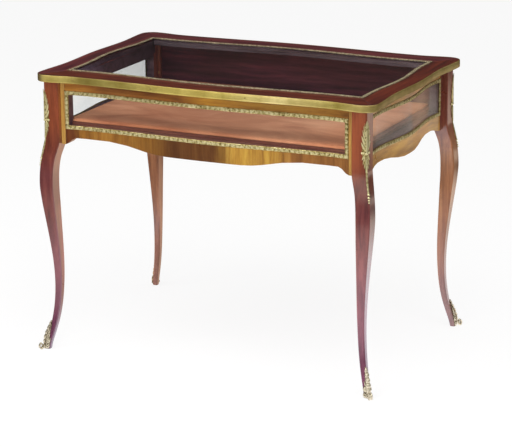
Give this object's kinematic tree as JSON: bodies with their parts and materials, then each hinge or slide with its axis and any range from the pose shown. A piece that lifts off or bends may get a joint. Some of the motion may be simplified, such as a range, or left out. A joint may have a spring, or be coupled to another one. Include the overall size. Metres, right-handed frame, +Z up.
{
  "type": "display table",
  "caption": "Serpentine glazed display table: hinged glass lid over a velvet-floored case with glazed front and sides, on cabriole legs.",
  "frame": {"origin": "on the floor, under the middle of the table", "axes": "+X along the long side, to the right seen from the front; +Y from the front to the hinged back; +Z up"},
  "size_m": [0.9784, 0.6644, 0.7629],
  "materials": {
    "mahogany": "polished",
    "veneer": "polished",
    "dark_wood": "satin",
    "brass": "polished",
    "gilt": "cast and gilded",
    "glass": "clear",
    "velvet": "velvet pile"
  },
  "bodies": {
    "case": {"leg_front_left": "mahogany", "leg_front_right": "mahogany", "leg_back_left": "mahogany", "leg_back_right": "mahogany", "leg_mount_front_left": "gilt", "leg_mount_front_right": "gilt", "leg_mount_back_left": "gilt", "leg_mount_back_right": "gilt", "foot_mount_front_left": "gilt", "foot_mount_front_right": "gilt", "foot_mount_back_left": "gilt", "foot_mount_back_right": "gilt", "front_top_rail": "veneer", "front_apron": "veneer", "front_stile_left": "veneer", "front_stile_right": "veneer", "left_top_rail": "mahogany", "left_apron": "veneer", "left_stile_front": "mahogany", "left_stile_back": "mahogany", "right_top_rail": "mahogany", "right_apron": "veneer", "right_stile_front": "mahogany", "right_stile_back": "mahogany", "front_glass": "glass", "left_glass": "glass", "right_glass": "glass", "front_border_top": "gilt", "front_border_bottom": "gilt", "front_border_left": "gilt", "front_border_right": "gilt", "left_border_top": "gilt", "left_border_bottom": "gilt", "left_border_front": "gilt", "left_border_back": "gilt", "right_border_top": "gilt", "right_border_bottom": "gilt", "right_border_front": "gilt", "right_border_back": "gilt", "back_board": "dark_wood", "floor_board": "dark_wood", "back_bearer": "dark_wood", "velvet_pad": "velvet", "hinge_left_lower_leaf": "brass", "hinge_left_pin": "brass", "hinge_right_lower_leaf": "brass", "hinge_right_pin": "brass"},
    "lid": {"lid_rail_front": "mahogany", "lid_rail_right": "mahogany", "lid_rail_back": "mahogany", "lid_rail_left": "mahogany", "lid_border_front": "gilt", "lid_border_right": "gilt", "lid_border_back": "gilt", "lid_border_left": "gilt", "lid_glass": "glass", "lid_band_right": "brass", "lid_band_left": "brass", "hinge_left_upper_leaf": "brass", "hinge_right_upper_leaf": "brass"}
  },
  "joints": [
    {"name": "lid_hinge", "type": "hinge", "parent": "case", "child": "lid", "pos_m": [0, 0.3064, 0.7412], "axis": [-1, 0, 0], "range_deg": [0, 105]}
  ]
}
